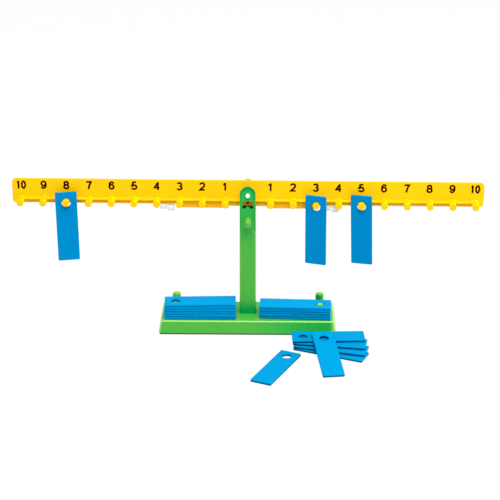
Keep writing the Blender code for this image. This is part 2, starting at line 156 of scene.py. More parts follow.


# Injection-moulded polystyrene: bright, dyed through, with the mould's smooth skin, which gives a soft gloss,
# a faint orange peel and a tone with a random mottle and a straight drift; over it lie a painted highlight
# and a painted shade towards the foot
def mouldedPolystyrene(name, look):
    material, tree = newMaterial(name)
    where = addNode(tree, "ShaderNodeTexCoord")
    spot = where.outputs["Object"]
    place = addNode(tree, "ShaderNodeSeparateXYZ", {}, {0: spot})
    facing = addNode(tree, "ShaderNodeSeparateXYZ", {}, {0: where.outputs["Normal"]})
    colour = wornTone(tree, facing, place, look, dyedTone(tree, spot, look))
    colour = footTone(tree, facing, place, look, colour)
    rub = addNode(tree, "ShaderNodeTexNoise",
                  {"Scale": 1 / (look["rub"] * mm), "Detail": 4.0, "Roughness": 0.6}, {"Vector": spot})
    smooth, rough = look["roughness"]
    gloss = addNode(tree, "ShaderNodeMapRange",
                    {"From Min": 0.3, "From Max": 0.7, "To Min": smooth, "To Max": rough},
                    {"Value": rub.outputs["Fac"]})
    peel = addNode(tree, "ShaderNodeTexNoise", {"Scale": 1 / (look["peel"] * mm), "Detail": 1.0},
                   {"Vector": spot})
    bump = addNode(tree, "ShaderNodeBump", {"Strength": look["peelStrength"], "Distance": 0.05 * mm},
                   {"Height": peel.outputs["Fac"]})
    shader = addNode(tree, "ShaderNodeBsdfPrincipled",
                     {"IOR": 1.5, "Specular IOR Level": look["shine"], "Metallic": 0.0},
                     {"Base Color": colour, "Roughness": gloss.outputs["Result"],
                      "Normal": bump.outputs["Normal"]})
    addNode(tree, "ShaderNodeOutputMaterial", {}, {"Surface": shader.outputs["BSDF"]})
    return material


# flow, rub and peel are sizes in mm; the real peel is some 0.5 mm, too fine to show, and is drawn coarser;
# drift is how the tone goes per mm along x, y and z, and where it starts;
# the pale colour, a painted highlight, lies on what faces up or sideways more than slope and less than level,
# where a flat is at 1, and grows along x from one end value to the other; the under colour, a painted shade,
# comes in from one z to a lower one; an end or a foot that is far off leaves its tone out
# the pale colour paints a highlight on the beam's rounded edges; its foot is far off, so it has no painted
# shade
yellowLook = {
    "deep": "#FFC603", "bright": "#FFCE06", "paintedHighlight": "#FFD70A", "under": "#FFB816",
    "flow": 60, "drift": (0, 0, 0, 0),
    "slope": 0.3, "level": 0.97, "end": (900, 901), "foot": (-900, -901),
    "roughness": (0.3, 0.42), "shine": 0.08, "rub": 9, "peel": 2.2, "peelStrength": 0.25,
}
# a deeper orange copy of the yellow: painted shade for the web's strip under the rib
yellowRibShadeLook = {**yellowLook, "deep": "#FFB816", "bright": "#FFBE18", "paintedHighlight": "#FFC418"}
# the pale colour paints highlights on the base's edges and its right end, where the side light falls; the
# under colour paints a line of shade along the plinth; the drift makes the green deeper towards the right and
# the back
baseLook = {
    "deep": "#22B44A", "bright": "#4EB240", "paintedHighlight": "#B4DC74", "under": "#1A5C18",
    "flow": 70, "drift": (-0.012, -0.016, 0, -0.16),
    "slope": 0.3, "level": 1.01, "end": (115, 121), "foot": (3.0, 1.4),
    "roughness": (0.22, 0.34), "shine": 0.2, "rub": 9, "peel": 2.0, "peelStrength": 0.3,
}
# the pegs take the pale colour on their tops, a painted highlight where the light from above falls, and their
# own deeper and paler greens
basePegLook = {
    **baseLook, "deep": "#1CA63A", "bright": "#66B43C", "paintedHighlight": "#88C440",
    "slope": 0.7, "level": 2, "end": (900, 901),
}
# the pale colour paints highlights on the post's edges and a lit strip down its right side; the under colour
# paints shade low on the column; the drift makes the head deeper green and the column paler towards its foot
postLook = {
    "deep": "#24B24C", "bright": "#50B440", "paintedHighlight": "#9CD06C", "under": "#00A84E",
    "flow": 50, "drift": (0, 0, -0.018, 2.6),
    "slope": 0.3, "level": 0.97, "end": (9.6, 11.2), "foot": (44, 27),
    "roughness": (0.22, 0.34), "shine": 0.15, "rub": 9, "peel": 2.0, "peelStrength": 0.3,
}
# a paler copy of the post's green with the pale colour on its top: painted light on the peg
postPegLook = {
    **postLook, "deep": "#48AE46", "bright": "#5AB446", "paintedHighlight": "#80C04C",
    "slope": 0.7, "level": 2, "end": (900, 901),
}
# the pale colour paints a highlight on the tiles' rounded edges; the under colour paints shade along the
# lower part of their edges
tileLook = {
    "deep": "#008AC8", "bright": "#0190CE", "paintedHighlight": "#0392D2", "under": "#00507E",
    "flow": 50, "drift": (0, 0, 0, 0),
    "slope": 0.3, "level": 0.97, "end": (900, 901), "foot": (-0.5, -1.5),
    "roughness": (0.3, 0.44), "shine": 0.005, "rub": 7, "peel": 1.8, "peelStrength": 0.3,
}
# a darker copy of the tiles' blue: painted shade on the hung tiles
hungTileLook = {**tileLook, "deep": "#0085C4", "bright": "#018BCA"}
# the stacked tiles' tops take a paler blue: painted light from above
stackTileLook = {**tileLook, "paintedHighlight": "#0098D4", "level": 2}
# the tiles on the table get a paler blue on their tops, painted light, and a darker under colour along the
# foot of their edges, painted contact shade
tableTileLook = {**tileLook, "paintedHighlight": "#0093CA", "level": 2, "under": "#003654", "foot": (0.9, -0.6)}

beamYellow = mouldedPolystyrene("mouldedPolystyreneYellow", yellowLook)
# painted shade under the rib
beamRibShadeYellow = mouldedPolystyrene("mouldedPolystyreneYellowRibShade", yellowRibShadeLook)
baseGreen = mouldedPolystyrene("mouldedPolystyreneBaseGreen", baseLook)
basePegGreen = mouldedPolystyrene("mouldedPolystyreneBasePeg", basePegLook)
postGreen = mouldedPolystyrene("mouldedPolystyrenePostGreen", postLook)
postPegGreen = mouldedPolystyrene("mouldedPolystyrenePostPeg", postPegLook)
hungTileBlue = mouldedPolystyrene("mouldedPolystyreneBlue", hungTileLook)
stackTileBlue = mouldedPolystyrene("mouldedPolystyreneStackBlue", stackTileLook)
tableTileBlue = mouldedPolystyrene("mouldedPolystyreneTableBlue", tableTileLook)


# Acetal rod, cut and tumbled: waxy white, softly shining, with a tool grain drawn coarser than the real one
def turnedAcetal():
    material, tree = newMaterial("turnedAcetalWhite")
    spot = addNode(tree, "ShaderNodeTexCoord").outputs["Object"]
    grain = addNode(tree, "ShaderNodeTexNoise", {"Scale": 1 / (1.5 * mm), "Detail": 3.0}, {"Vector": spot})
    tone = addNode(tree, "ShaderNodeMix", {"data_type": "RGBA"}, {0: grain.outputs["Fac"]})
    tone.inputs[6].default_value = linearColour("#F1F4EE")
    tone.inputs[7].default_value = linearColour("#FBFCF8")
    bump = addNode(tree, "ShaderNodeBump", {"Strength": 0.2, "Distance": 0.03 * mm},
                   {"Height": grain.outputs["Fac"]})
    shader = addNode(tree, "ShaderNodeBsdfPrincipled", {"IOR": 1.48, "Roughness": 0.38},
                     {"Base Color": tone.outputs[2], "Normal": bump.outputs["Normal"]})
    addNode(tree, "ShaderNodeOutputMaterial", {}, {"Surface": shader.outputs["BSDF"]})
    return material


# Polystyrene moulded without dye, its faces frosted by the mould: light passes, but it shows white, and grey
# where it turns under; the frost is far too fine to show, so its haze is drawn 2.5 mm wide
def frostedPolystyrene():
    material, tree = newMaterial("mouldedPolystyreneFrosted")
    spot = addNode(tree, "ShaderNodeTexCoord").outputs["Object"]
    haze = addNode(tree, "ShaderNodeTexNoise", {"Scale": 1 / (2.5 * mm), "Detail": 2.0}, {"Vector": spot})
    rough = addNode(tree, "ShaderNodeMapRange", {"To Min": 0.12, "To Max": 0.25},
                    {"Value": haze.outputs["Fac"]})
    bump = addNode(tree, "ShaderNodeBump", {"Strength": 0.15, "Distance": 0.04 * mm},
                   {"Height": haze.outputs["Fac"]})
    shader = addNode(tree, "ShaderNodeBsdfPrincipled",
                     {"Base Color": linearColour("#FAFBFC"), "IOR": 1.2, "Transmission Weight": 0.45},
                     {"Roughness": rough.outputs["Result"], "Normal": bump.outputs["Normal"]})
    addNode(tree, "ShaderNodeOutputMaterial", {}, {"Surface": shader.outputs["BSDF"]})
    return material


# Pad-printed ink: a flat film, dark brown-black, a little worn thin in places
def padPrintInk():
    material, tree = newMaterial("padPrintInkBlack")
    spot = addNode(tree, "ShaderNodeTexCoord").outputs["Object"]
    wear = addNode(tree, "ShaderNodeTexNoise", {"Scale": 1 / (3 * mm), "Detail": 4.0, "Roughness": 0.7},
                   {"Vector": spot})
    tone = addNode(tree, "ShaderNodeMix", {"data_type": "RGBA"}, {0: wear.outputs["Fac"]})
    tone.inputs[6].default_value = linearColour("#300400")
    tone.inputs[7].default_value = linearColour("#3C0600")
    shader = addNode(tree, "ShaderNodeBsdfPrincipled",
                     {"IOR": 1.5, "Specular IOR Level": 0.03, "Roughness": 0.5},
                     {"Base Color": tone.outputs[2]})
    addNode(tree, "ShaderNodeOutputMaterial", {}, {"Surface": shader.outputs["BSDF"]})
    return material


pinWhite = turnedAcetal()
clipFrosted = frostedPolystyrene()
inkBlack = padPrintInk()
print("materials made")


# Shapes, all drawn in mm; sharpAngle parts the flats from the roundings, and cutters reach past what they cut
sharpAngle = math.radians(34)
bevelAngle = math.radians(50)
roundSides = 48
cutter = {"through": 20.0, "past": 1.0}


# Corners are x, y and radius; a corner without a radius stays sharp
def roundedOutline(corners, steps=8):
    points = []
    for i, (x, y, radius) in enumerate(corners):
        here = Vector((x, y))
        if not radius:
            points.append(here)
            continue
        before = (Vector(corners[i - 1][:2]) - here).normalized()
        after = (Vector(corners[(i + 1) % len(corners)][:2]) - here).normalized()
        half = before.angle(after) / 2
        centre = here + (before + after).normalized() * radius / math.sin(half)
        start = here + before * radius / math.tan(half) - centre
        sweep = start.angle_signed(here + after * radius / math.tan(half) - centre)
        points += [centre + Matrix.Rotation(-sweep * step / steps, 2) @ start for step in range(steps + 1)]
    return points


def bothSides(half):
    return half + [(-x, y, r) for x, y, r in reversed(half)]


def ringPoints(radius, sides):
    turns = [2 * math.pi * i / sides for i in range(sides)]
    return [Vector((radius * math.cos(t), radius * math.sin(t))) for t in turns]


# Points along an ellipse, from one angle to another in degrees
def curvePoints(cx, cy, rx, ry, start, end, steps=20):
    turns = [math.radians(start + (end - start) * i / steps) for i in range(steps + 1)]
    return [(cx + rx * math.cos(t), cy + ry * math.sin(t)) for t in turns]


def arc(centre, radius, start, end, steps=5):
    return curvePoints(*centre, radius, radius, start, end, steps)


# Plates are drawn flat, in mm, then laid: towards the viewer, or on their side
faceFront = Matrix(((1, 0, 0, 0), (0, 0, -1, 0), (0, 1, 0, 0), (0, 0, 0, 1)))
faceSide = Matrix(((0, 0, 1, 0), (1, 0, 0, 0), (0, 1, 0, 0), (0, 0, 0, 1)))
layFlat = Matrix.Identity(4)


def plate(outline, holes, low, high, laid, rim=0.0, rimSteps=3):
    shape = bmesh.new()
    edges = []
    for loop in [outline] + holes:
        verts = [shape.verts.new((p[0], p[1], low)) for p in loop]
        edges += [shape.edges.new((verts[i - 1], verts[i])) for i in range(len(verts))]
    if holes:
        bmesh.ops.triangle_fill(shape, edges=edges, use_beauty=True)
    else:
        shape.faces.new(shape.verts)
    grown = bmesh.ops.extrude_face_region(shape, geom=list(shape.faces))
    upper = [g for g in grown["geom"] if isinstance(g, bmesh.types.BMVert)]
    bmesh.ops.translate(shape, verts=upper, vec=(0, 0, high - low))
    bmesh.ops.recalc_face_normals(shape, faces=shape.faces)
    if rim:
        rims = [e for e in shape.edges if e.verts[0].co.z == e.verts[1].co.z and e.calc_face_angle(0) > 1]
        bmesh.ops.bevel(shape, geom=rims, offset=rim, segments=rimSteps, profile=0.5, affect="EDGES")
    bmesh.ops.transform(shape, matrix=laid, verts=shape.verts)
    return shape


# Profile points are radius and height; a radius of 0 closes the end in a point
def lathe(profile, laid, at=(0, 0, 0), sides=roundSides):
    shape = bmesh.new()
    rings = []
    for radius, height in profile:
        if radius:
            ring = [laid @ Vector((p.x, p.y, height)) + Vector(at) for p in ringPoints(radius, sides)]
            rings.append([shape.verts.new(point) for point in ring])
        else:
            rings.append([shape.verts.new(laid @ Vector((0, 0, height)) + Vector(at))])
    for lower, upper in zip(rings, rings[1:]):
        for i in range(sides):
            if len(lower) == 1:
                shape.faces.new((lower[0], upper[i - 1], upper[i]))
            elif len(upper) == 1:
                shape.faces.new((lower[i - 1], lower[i], upper[0]))
            else:
                shape.faces.new((lower[i - 1], lower[i], upper[i], upper[i - 1]))
    for ring in (rings[0], rings[-1]):
        if len(ring) > 1:
            shape.faces.new(ring)
    return shape


# Skins rings of equal point counts, one after another, and closes both ends
def loft(rings):
    shape = bmesh.new()
    loops = [[shape.verts.new(point) for point in ring] for ring in rings]
    for lower, upper in zip(loops, loops[1:]):
        for i in range(len(lower)):
            shape.faces.new((lower[i - 1], lower[i], upper[i], upper[i - 1]))
    shape.faces.new(loops[0])
    shape.faces.new(loops[-1])
    return shape


def roundedRing(halfX, halfY, z, corner, steps=6):
    signs = ((1, 1), (-1, 1), (-1, -1), (1, -1))
    corners = [(halfX * sx, halfY * sy, corner) for sx, sy in signs]
    return [(p.x, p.y, z) for p in roundedOutline(corners, steps)]


def block(low, high):
    corners = [(low[0], low[1]), (high[0], low[1]), (high[0], high[1]), (low[0], high[1])]
    return loft([[(x, y, z) for x, y in corners] for z in (low[2], high[2])])


# Puts closed shapes into one, each facing outward
def gather(shapes):
    whole = bmesh.new()
    for shape in shapes:
        bmesh.ops.recalc_face_normals(shape, faces=shape.faces)
        part = bpy.data.meshes.new("part")
        shape.to_mesh(part)
        shape.free()
        whole.from_mesh(part)
        bpy.data.meshes.remove(part)
    return whole


# From mm to the scene's metres
def toMesh(name, shape):
    bmesh.ops.recalc_face_normals(shape, faces=shape.faces)
    bmesh.ops.scale(shape, vec=(mm, mm, mm), verts=shape.verts)
    mesh = bpy.data.meshes.new(name)
    shape.to_mesh(mesh)
    shape.free()
    mesh.shade_smooth()
    mesh.set_sharp_from_angle(angle=sharpAngle)
    return mesh


def addObject(name, mesh, place=Matrix.Identity(4)):
    piece = bpy.data.objects.new(name, mesh)
    bpy.context.scene.collection.objects.link(piece)
    piece.matrix_world = place
    return piece


def finishPiece(piece, material, body, slot, *stoodFor):
    if material.name not in piece.data.materials:
        piece.data.materials.append(material)
    evenOut = piece.modifiers.new("evenNormals", "WEIGHTED_NORMAL")  # keeps flats flat beside roundings
    evenOut.keep_sharp = True
    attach(piece, body)
    if stoodFor:
        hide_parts(*stoodFor)
    return piece


# Joins or cuts shapes one after another and keeps the result as one mesh
def carved(name, shape, steps, edge=0.0):
    piece = addObject(name, toMesh(name, shape))
    helpers = []
    for operation, helperShape in steps:
        helper = addObject(name + "Helper", toMesh(name + "Helper", helperShape))
        helper.hide_render = True
        cut = piece.modifiers.new(operation, "BOOLEAN")
        cut.operation = operation
        cut.object = helper
        cut.solver = "EXACT"
        helpers.append(helper)
    if edge:
        soft = piece.modifiers.new("edges", "BEVEL")
        soft.width = edge * mm
        soft.segments = 3
        soft.limit_method = "ANGLE"
        soft.angle_limit = bevelAngle
        soft.use_clamp_overlap = True
    bpy.context.view_layer.update()
    made = bpy.data.meshes.new_from_object(piece.evaluated_get(bpy.context.evaluated_depsgraph_get()))
    piece.modifiers.clear()
    piece.data = made
    for helper in helpers:
        bpy.data.objects.remove(helper, do_unlink=True)
    made.shade_smooth()
    made.set_sharp_from_angle(angle=sharpAngle)
    return piece


# Adds closed shapes to a piece's own mesh: the piece keeps its material, and they wait for the next one
def joinShapes(piece, shapes, material):
    extra = toMesh("extra", gather(shapes))
    for face in extra.polygons:
        face.material_index = 1
    piece.data.materials.append(material)
    whole = bmesh.new()
    whole.from_mesh(piece.data)
    whole.from_mesh(extra)
    whole.to_mesh(piece.data)
    whole.free()
    bpy.data.meshes.remove(extra)


# Where the beam sits: on its pivot, dipped a little to the right
pivot = {"height": 198.0, "dip": math.radians(0.35)}
beamPlace = Matrix.Translation((0, 0, pivot["height"] * mm)) @ Matrix.Rotation(pivot["dip"], 4, "Y")


# Beam: one moulding, in mm from the pivot
beam = {
    "length": 645, "top": 17.3, "foot": -17.3, "web": 3.0, "topCorner": 5.7, "footCorner": 4.0, "rim": 0.45,
    "centreFoot": -19.4, "centreCorner": 0.8,
    "skirtFoot": -22.5, "skirtIn": 26.2, "skirtOut": 95.2, "skirtCorner": 2.4,
    "ribTop": -9.4, "ribThick": 2.0, "ribReach": 5.0, "ribRound": 0.6, "fillet": 0.5,
    "hub": 12.4, "hubHalf": 11.7, "hubRound": 0.4, "bore": 7.0,
}
peg = {
    "count": 10, "pitch": 31.0, "z": -12.0, "diameter": 9.6, "reach": 18.5,
    "round": 0.9, "fillet": 0.7, "sides": 40,
}


def beamWeb():
    end = beam["length"] / 2
    half = [
        (end, beam["top"], beam["topCorner"]),
        (end, beam["foot"], beam["footCorner"]),
        (beam["skirtOut"], beam["foot"], beam["skirtCorner"] / 2),
        (beam["skirtOut"], beam["skirtFoot"], beam["skirtCorner"]),
        (beam["skirtIn"], beam["skirtFoot"], beam["skirtCorner"] / 2),
        (beam["skirtIn"], beam["centreFoot"], beam["centreCorner"]),
    ]
    web = beam["web"] / 2
    bore = ringPoints(beam["bore"] / 2, roundSides)
    shape = plate(roundedOutline(bothSides(half)), [bore], -web, web, faceFront, beam["rim"])
    line, ribEnd = beam["ribTop"] - beam["ribThick"] / 2, peg["count"] * peg["pitch"]
    for at, way in (((0, 0, line), (0, 0, 1)), ((ribEnd, 0, 0), (1, 0, 0)), ((-ribEnd, 0, 0), (1, 0, 0))):
        everything = shape.verts[:] + shape.edges[:] + shape.faces[:]
        bmesh.ops.bisect_plane(shape, geom=everything, plane_co=at, plane_no=way)
    for face in shape.faces:  # below the rib a deeper orange is painted as its shade, so this strip has its own material
        middle = face.calc_center_median()
        face.material_index = int(middle.z < line and abs(middle.x) < ribEnd)
    return shape


# The rib's section, rounded at its free edge and flared where it meets the web
def beamRib(side):
    web, out = beam["web"] / 2, beam["web"] / 2 + beam["ribReach"]
    top, low = beam["ribTop"], beam["ribTop"] - beam["ribThick"]
    r, f = beam["ribRound"], beam["fillet"]
    section = [(0, top + f)] + arc((web + f, top + f), f, 180, 270) + arc((out - r, top - r), r, 90, 0)
    section += arc((out - r, low + r), r, 0, -90) + arc((web + f, low - f), f, 90, 180) + [(0, low - f)]
    end = peg["count"] * peg["pitch"]
    return loft([[(x, y * side, z) for y, z in section] for x in (-end, end)])


def beamPeg(x, side):
    web, out = beam["web"] / 2, beam["web"] / 2 + peg["reach"]
    radius, r, f = peg["diameter"] / 2, peg["round"], peg["fillet"]
    profile = [(radius + f, 0)] + arc((radius + f, web + f), f, 270, 180)
    profile += arc((radius - r, out - r), r, 0, 90) + [(0, out)]
    return lathe([(a, b * side) for a, b in profile], faceFront, (x, 0, peg["z"]), peg["sides"])


# A tube, so its profile runs round in a loop
def beamHub():
    inner, outer, far, r = beam["bore"] / 2, beam["hub"] / 2, beam["hubHalf"], beam["hubRound"]
    front = [(inner, -far), (outer - r, -far), (outer, r - far)]
    profile = front + [(radius, -height) for radius, height in reversed(front)]
    shape = bmesh.new()
    rings = []
    for radius, height in profile:
        ring = [faceFront @ Vector((p.x, p.y, height)) for p in ringPoints(radius, roundSides)]
        rings.append([shape.verts.new(point) for point in ring])
    for k in range(len(rings)):
        for i in range(roundSides):
            shape.faces.new((rings[k - 1][i - 1], rings[k - 1][i], rings[k][i], rings[k][i - 1]))
    return shape


pegNumbers = [n for n in range(-peg["count"], peg["count"] + 1) if n]
beamShapes = [beamWeb(), beamRib(1), beamRib(-1), beamHub()]
beamShapes += [beamPeg(n * peg["pitch"], side) for n in pegNumbers for side in (-1, 1)]
beamPiece = addObject("beamMoulding", toMesh("beamMoulding", gather(beamShapes)), beamPlace)
pegNodes = [f"peg_{'left' if n < 0 else 'right'}_{abs(n)}" for n in pegNumbers]
beamPiece.data.materials.append(beamYellow)
finishPiece(beamPiece, beamRibShadeYellow, "beam", "beam_yellow", "beam", *pegNodes)
print("beam moulded with", len(pegNumbers), "pegs a face")


# Numbers over the pegs, and the centre mark: a film of ink on both faces
digits = {
    "height": 12.4, "width": 8.9, "stroke": 2.6, "drop": 9.0, "shift": -0.3,
    "tenWidth": 6.2, "tenGap": 0.9, "zeroShare": 1.15,
    "film": 0.05, "layer": 0.008,  # each stroke of a digit a hair higher, so that none share a face
}
centreMark = {"width": 8.0, "top": -10.2, "foot": -17.1}

# Centre lines of the strokes, in a box one high and one wide
digitStrokes = {
    "0": [curvePoints(0.5, 0.5, 0.5, 0.5, 90, 450, 40)],
    "1": [[(0.1, 0.76), (0.32, 0.84), (0.5, 1.0)], [(0.56, 1.06), (0.56, -0.08)]],
    "2": [curvePoints(0.49, 0.72, 0.47, 0.28, 172, -22, 18)
          + [(0.72, 0.42), (0.3, 0.2), (0.06, 0.0), (1.03, 0.0)]],
    "3": [curvePoints(0.47, 0.755, 0.43, 0.245, 160, -90, 18),
          curvePoints(0.47, 0.255, 0.49, 0.255, 90, -162, 20)],
    "4": [[(0.74, -0.08), (0.74, 1.08)], [(0.68, 0.98), (0.0, 0.27), (1.06, 0.27)]],
    "5": [[(0.93, 1.0), (0.24, 1.0), (0.13, 0.5)] + curvePoints(0.49, 0.3, 0.5, 0.3, 138, -160, 24)],
    "6": [curvePoints(0.5, 0.31, 0.47, 0.31, 0, 360, 30),
          curvePoints(0.52, 0.5, 0.49, 0.5, 32, 180, 16) + [(0.03, 0.31)]],
    "7": [[(-0.04, 1.0), (0.98, 1.0), (0.62, 0.52), (0.4, -0.08)]],
    "8": [curvePoints(0.5, 0.76, 0.4, 0.24, -90, 270, 30), curvePoints(0.5, 0.26, 0.48, 0.27, 90, 450, 30)],
    "9": [curvePoints(0.5, 0.69, 0.47, 0.31, 0, 360, 30),
          curvePoints(0.48, 0.5, 0.49, 0.5, 212, 360, 16) + [(0.97, 0.69)]],
}


# A ribbon of ink along a stroke, a hair proud of the web
def inkRibbon(points, width, lift):
    shape = bmesh.new()
    closed = (Vector(points[0]) - Vector(points[-1])).length < 1e-6
    if closed:
        points = points[:-1]
    count = len(points)
    rows = []
    for i, point in enumerate(points):
        here = Vector(point)
        first, last = i == 0 and not closed, i == count - 1 and not closed  # an open end goes straight on
        before = 2 * here - Vector(points[1]) if first else Vector(points[i - 1])
        after = 2 * here - Vector(points[i - 1]) if last else Vector(points[(i + 1) % count])
        ahead, behind = (after - here).normalized(), (here - before).normalized()
        along = (ahead + behind).normalized()
        mitre = max(0.35, along.dot(ahead))  # so that a sharp turn isn't drawn to a spike
        across = Vector((-along.y, along.x)) * width / 2 / mitre
        corners = ((here + across, 0.0), (here + across, lift), (here - across, lift), (here - across, 0.0))
        rows.append([shape.verts.new((*corner, z)) for corner, z in corners])
    for i in range(count if closed else count - 1):
        lower, upper = rows[i], rows[(i + 1) % count]
        for k in range(4):
            shape.faces.new((lower[k - 1], lower[k], upper[k], upper[k - 1]))
    if not closed:
        shape.faces.new(rows[0])
        shape.faces.new(rows[-1])
    return shape


def inkDigit(digit, x, width):
    stroke = digits["stroke"]
    shapes = []
    wide, high = width - stroke, digits["height"] - stroke
    for layer, points in enumerate(digitStrokes[digit]):
        scaled = [(x + (px - 0.5) * wide, (py - 0.5) * high) for px, py in points]
        shapes.append(inkRibbon(scaled, stroke, digits["film"] + digits["layer"] * layer))
    return shapes


def printNumbers():
    shapes = []
    for n in pegNumbers:
        text = str(abs(n))
        if len(text) == 1:
            glyphs = inkDigit(text, 0, digits["width"])
        else:
            step = (digits["tenWidth"] + digits["tenGap"]) / 2
            glyphs = inkDigit("1", -step, digits["tenWidth"])
            glyphs += inkDigit("0", step, digits["tenWidth"] * digits["zeroShare"])
        at = Matrix.Translation((n * peg["pitch"] + digits["shift"], beam["top"] - digits["drop"], 0))
        for glyph in glyphs:
            bmesh.ops.transform(glyph, matrix=at, verts=glyph.verts)
        shapes += glyphs
    return gather(shapes)


def printFace(name, turn):
    shape = printNumbers()
    mark = centreMark["width"] / 2
    arrow = [(-mark, centreMark["top"]), (mark, centreMark["top"]), (0, centreMark["foot"])]
    shape = gather([shape, plate(arrow, [], 0, digits["film"], layFlat)])
    bmesh.ops.translate(shape, verts=shape.verts, vec=(0, 0, beam["web"] / 2))
    bmesh.ops.transform(shape, matrix=Matrix.Rotation(turn, 4, "Z") @ faceFront, verts=shape.verts)
    print(name, "printed")
    return finishPiece(addObject(name, toMesh(name, shape), beamPlace), inkBlack, "beam", "beam_yellow")


printFace("numbersFront", 0)
printFace("numbersBack", math.pi)


# Pivot pin: a rod with chamfered ends, pressed into the fork
pin = {
    "diameter": 6.0, "back": 16.5, "front": 16.0, "chamfer": 0.6, "clearance": 0.12,
    "dimple": 0.25, "dimpleFloor": 0.9, "dimpleRim": 1.3,
}


def makePin():
    radius, chamfer, dimple = pin["diameter"] / 2, pin["chamfer"], pin["dimple"]
    cap = [(0, -dimple), (pin["dimpleFloor"], -0.7 * dimple), (pin["dimpleRim"], 0), (radius - chamfer, 0)]
    cap += [(radius - 0.3 * chamfer, -0.25 * chamfer), (radius, -chamfer)]
    profile = [(a, -b - pin["back"]) for a, b in cap] + [(a, b + pin["front"]) for a, b in reversed(cap)]
    piece = addObject("pivotPin", toMesh("pivotPin", lathe(profile, faceFront, (0, 0, pivot["height"]))))
    return finishPiece(piece, pinWhite, "stand", "pin_white", "pivot_pin")


makePin()


# Post: one moulding, from its foot in the base to the fork
post = {
    "footWidth": 22.9, "width": 22.4, "footDepth": 16.8, "depth": 26.0, "foot": 2.75,
    "corner": 1.6, "shoulder": 1.5, "edge": 0.45, "wall": 2.4, "rib": 2.0, "bays": 4,
    "headWidth": 21.9, "headDepth": 32.0, "headBottom": 150.6, "headCorner": 1.5, "headRise": 13.5,
    "bite": 1.2, "cheek": 4.0, "forkFloor": 175.9, "forkCorner": 2.0,
    "rim": 0.8, "recess": 3.0, "recessDrop": 8.0,
    "wellWide": 15.0, "wellDeep": 20.0, "wellFoot": 156.0,
    "windowWidth": 14.6, "windowTop": 189.9, "windowFoot": 178.7, "windowCorner": 0.8, "sillCorner": 0.5,
    "pointerWidth": 6.8, "pointerHeight": 3.5, "pointerRound": 0.25,
    "peg": 8.8, "pegZ": 161.1, "pegReach": 17.0, "pegRoot": 2.0, "pegRound": 0.9, "pegFillet": 0.8,
}
headTop = pivot["height"] + post["headRise"]


# An outline with upright sides and a round top
def archOutline(half, low, top):
    crown = arc((0, top - half), half, 0, 180, roundSides)[1:-1]
    return [(half, low), (half, top - half)] + crown + [(-half, top - half), (-half, low)]


# The head from its side: two cheeks over a floor, and a flare down to the column
def headSide():
    deep, inner = post["headDepth"] / 2, post["headDepth"] / 2 - post["cheek"]
    foot = post["depth"] / 2 - post["bite"]
    flare = post["headBottom"] - (deep - foot)
    top = headTop + cutter["past"]
    side = [
        (deep, post["headBottom"], post["headCorner"]), (deep, top, 0),
        (inner, top, 0), (inner, post["forkFloor"], post["forkCorner"]),
    ]
    corners = [(foot, flare, 0)] + side + [(-y, z, r) for y, z, r in reversed(side)] + [(-foot, flare, 0)]
    return plate(roundedOutline(corners), [], -cutter["through"], cutter["through"], faceSide)


def headFront():
    outline = archOutline(post["headWidth"] / 2, post["headBottom"] - cutter["through"], headTop)
    return plate(outline, [], -cutter["through"], cutter["through"], faceFront)


def postWindow():
    half, sill, top = post["windowWidth"] / 2, post["windowFoot"], post["windowTop"]
    pointer = post["pointerWidth"] / 2
    corners = [
        (half, sill, post["sillCorner"]), (half, top, post["windowCorner"]),
        (-half, top, post["windowCorner"]), (-half, sill, post["sillCorner"]),
        (-pointer, sill, 0), (0, sill + post["pointerHeight"], post["pointerRound"]), (pointer, sill, 0),
    ]
    return plate(roundedOutline(corners, 4), [], -cutter["through"], cutter["through"], faceFront)


# The head's front sinks inside a rim, level with the column below it
def headPanel():
    half, top = post["headWidth"] / 2 - post["rim"], headTop - post["rim"]
    outline = archOutline(half, post["headBottom"] - post["recessDrop"], top)
    return plate(outline, [], post["headDepth"] / 2 - post["recess"], cutter["through"], faceFront)


def postBays():
    side, front = post["width"] / 2 - post["wall"], post["wall"] - post["footDepth"] / 2
    low = base["height"] + post["wall"]
    high = post["headBottom"] - post["headDepth"] / 2 + post["depth"] / 2 - post["wall"]
    pitch = (high - low + post["rib"]) / post["bays"]
    bays = []
    for i in range(post["bays"]):
        foot, top = low + i * pitch, low + (i + 1) * pitch - post["rib"]
        bays.append(block((-side, front, foot), (side, cutter["through"], top)))
    return gather(bays)


def makePost():
    width, depth, shoulder, corner = post["width"] / 2, post["depth"] / 2, post["shoulder"], post["corner"]
    footWidth, footDepth = post["footWidth"] / 2, post["footDepth"] / 2
    column = loft([
        roundedRing(footWidth, footDepth, post["foot"], corner),
        roundedRing(footWidth, footDepth, base["height"] + shoulder, corner),
        roundedRing(width, depth, post["headBottom"] - shoulder, corner),
        roundedRing(width - shoulder, depth - shoulder / 2, post["headBottom"], corner),
    ])
    head = carved("head", headSide(), [("INTERSECT", headFront())])
    headShape = bmesh.new()
    headShape.from_mesh(head.data)
    bmesh.ops.scale(headShape, vec=(1 / mm,) * 3, verts=headShape.verts)
    bpy.data.objects.remove(head, do_unlink=True)
    wellX, wellY, wellTop = post["wellWide"] / 2, post["wellDeep"] / 2, post["forkFloor"] + cutter["past"]
    bore, through = pin["diameter"] / 2 + pin["clearance"], cutter["through"]
    return carved("postMoulding", column, [
        ("UNION", headShape),
        ("DIFFERENCE", headPanel()),
        ("DIFFERENCE", block((-wellX, -wellY, post["wellFoot"]), (wellX, wellY, wellTop))),
        ("DIFFERENCE", postWindow()),
        ("DIFFERENCE", lathe([(bore, -through), (bore, through)], faceFront, (0, 0, pivot["height"]))),
        ("DIFFERENCE", postBays()),
    ], post["edge"])


